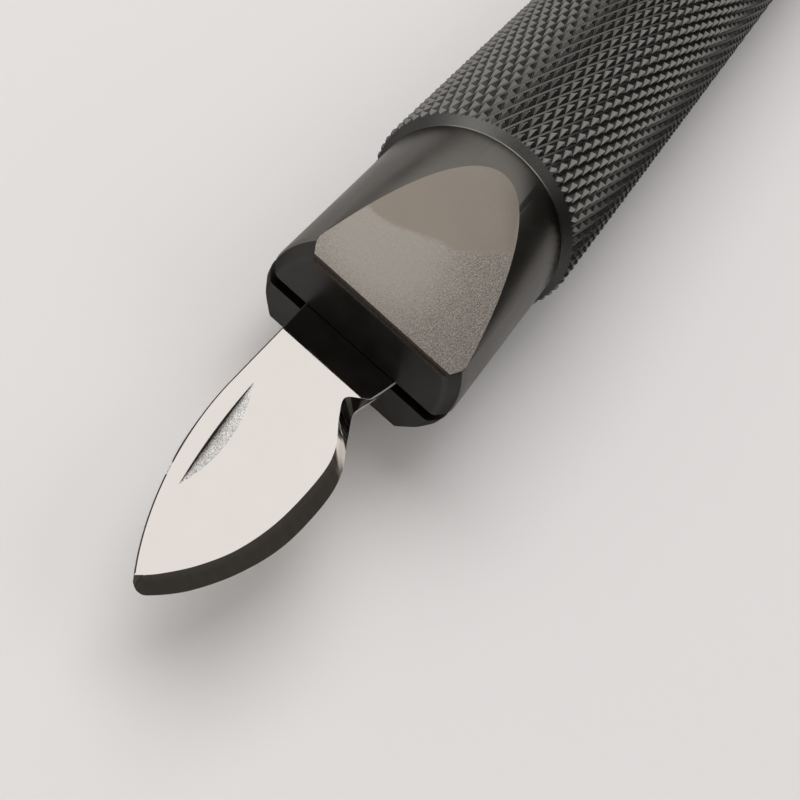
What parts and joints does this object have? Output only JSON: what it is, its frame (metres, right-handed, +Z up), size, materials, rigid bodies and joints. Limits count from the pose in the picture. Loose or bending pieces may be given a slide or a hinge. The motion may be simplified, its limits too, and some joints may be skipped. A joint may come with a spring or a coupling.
{
  "type": "case opener knife",
  "caption": "Round knurled handle with a slotted two-flat nose that clamps a short bevelled blade with a nail nick, and a screwed rear cap over spare blades.",
  "frame": {"origin": "under the middle of the knife's length, on the plane that the handle lies on", "axes": "+X along the handle towards the rear cap, so the blade points to -X; +Z up, square to the blade's faces, towards the face with the nail nick"},
  "size_m": [0.1322, 0.018, 0.018],
  "materials": {
    "knurled_gunmetal": "diamond knurled, dark gunmetal anodised, satin",
    "nose_gunmetal": "turned satin gunmetal with fine-blasted flats",
    "polished_steel": "mirror polished steel with a ground bevel",
    "pin_steel": "ground",
    "black_screw_steel": "black oxide",
    "pad_brass": "turned",
    "seal_rubber": "matte",
    "caddy_plastic": "moulded, matte"
  },
  "bodies": {
    "handle": {"knurled_sleeve": "knurled_gunmetal", "nose_holder": "nose_gunmetal", "tang_stop_pin": "pin_steel", "nose_bolt": "black_screw_steel", "nose_lock_washer": "pin_steel", "nose_key_pin": "pin_steel"},
    "blade": {"blade": "polished_steel"},
    "pad_front": {"clamp_pad_front": "pad_brass"},
    "screw_front": {"clamp_screw_front": "black_screw_steel"},
    "pad_rear": {"clamp_pad_rear": "pad_brass"},
    "screw_rear": {"clamp_screw_rear": "black_screw_steel"},
    "cap_seal": {"cap_o_ring": "seal_rubber"},
    "cap": {"rear_cap": "knurled_gunmetal", "blade_caddy": "caddy_plastic", "spare_blade_1": "polished_steel", "spare_blade_2": "polished_steel"}
  },
  "joints": [
    {"name": "blade_slide", "type": "slide", "parent": "handle", "child": "blade", "axis": [-1, 0, 0], "range_m": [0, 0.014]},
    {"name": "pad_front_slide", "type": "slide", "parent": "handle", "child": "pad_front", "axis": [0, 0, -1], "range_m": [0, 0.001]},
    {"name": "screw_front_turn", "type": "hinge", "parent": "pad_front", "child": "screw_front", "pos_m": [-0.03788, 0.00023, 0.005], "axis": [0, 0, -1], "range_deg": [0, 720]},
    {"name": "pad_rear_slide", "type": "slide", "parent": "handle", "child": "pad_rear", "axis": [0, 0, -1], "range_m": [0, 0.001]},
    {"name": "screw_rear_turn", "type": "hinge", "parent": "pad_rear", "child": "screw_rear", "pos_m": [-0.03338, 0.00023, 0.005], "axis": [0, 0, -1], "range_deg": [0, 720]},
    {"name": "cap_slide", "type": "slide", "parent": "handle", "child": "cap_seal", "axis": [1, 0, 0], "range_m": [0, 0.008]},
    {"name": "cap_turn", "type": "hinge", "parent": "cap_seal", "child": "cap", "pos_m": [0.0602, 0, 0.00899], "axis": [1, 0, 0], "range_deg": [0, 2880]}
  ],
  "couplings": [
    {"joint": "screw_front_turn", "follows": "pad_front_slide", "rad_per_m": 12566},
    {"joint": "screw_rear_turn", "follows": "pad_rear_slide", "rad_per_m": 12566},
    {"joint": "cap_turn", "follows": "cap_slide", "rad_per_m": 6283.2}
  ]
}
